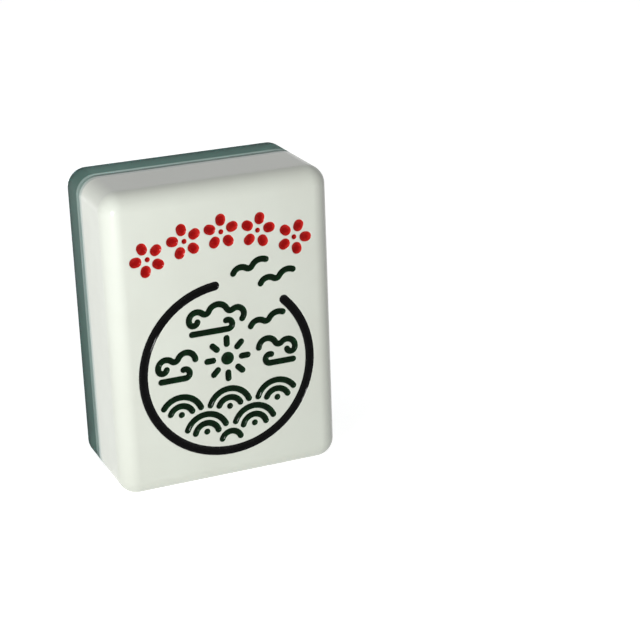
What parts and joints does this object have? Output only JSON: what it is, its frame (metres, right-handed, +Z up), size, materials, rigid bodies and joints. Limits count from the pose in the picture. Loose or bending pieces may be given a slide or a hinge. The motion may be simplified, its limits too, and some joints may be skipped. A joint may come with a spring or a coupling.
{
  "type": "mahjong tile",
  "caption": "Upright mahjong tile: a white block with an engraved, enamel-filled face, bonded to a clear back over printed woven cloth.",
  "frame": {"origin": "middle of the lower end, on the surface that the tile stands on", "axes": "+Z up the tile, the engraved face towards -Y, +X to the right as seen from the face"},
  "size_m": [0.0224, 0.0126, 0.03],
  "materials": {
    "white_resin": "polished",
    "glue": "glossy",
    "cloth": "plain weave",
    "clear_acrylic": "polished",
    "black_enamel": "glossy",
    "red_enamel": "glossy",
    "green_enamel": "glossy",
    "violet_ink": "printed",
    "blue_ink": "printed",
    "mint_ink": "printed",
    "slate_ink": "printed"
  },
  "bodies": {
    "root": {"face_block": "white_resin", "glue_line": "glue", "cloth_sheet": "cloth", "clear_back": "clear_acrylic", "ring_enamel": "black_enamel", "blossom_enamel_1": "red_enamel", "blossom_enamel_2": "red_enamel", "blossom_enamel_3": "red_enamel", "blossom_enamel_4": "red_enamel", "blossom_enamel_5": "red_enamel", "sun_enamel": "green_enamel", "sunbeam_enamel": "green_enamel", "left_cloud_enamel": "green_enamel", "right_cloud_enamel": "green_enamel", "upper_cloud_enamel": "green_enamel", "front_sea_enamel": "green_enamel", "left_sea_enamel": "green_enamel", "middle_sea_enamel": "green_enamel", "right_sea_enamel": "green_enamel", "first_bird_enamel": "green_enamel", "second_bird_enamel": "green_enamel", "third_bird_enamel": "green_enamel", "outer_petal_ink": "violet_ink", "inner_petal_ink": "blue_ink", "leaf_ink": "mint_ink", "stem_ink": "slate_ink"}
  },
  "joints": []
}
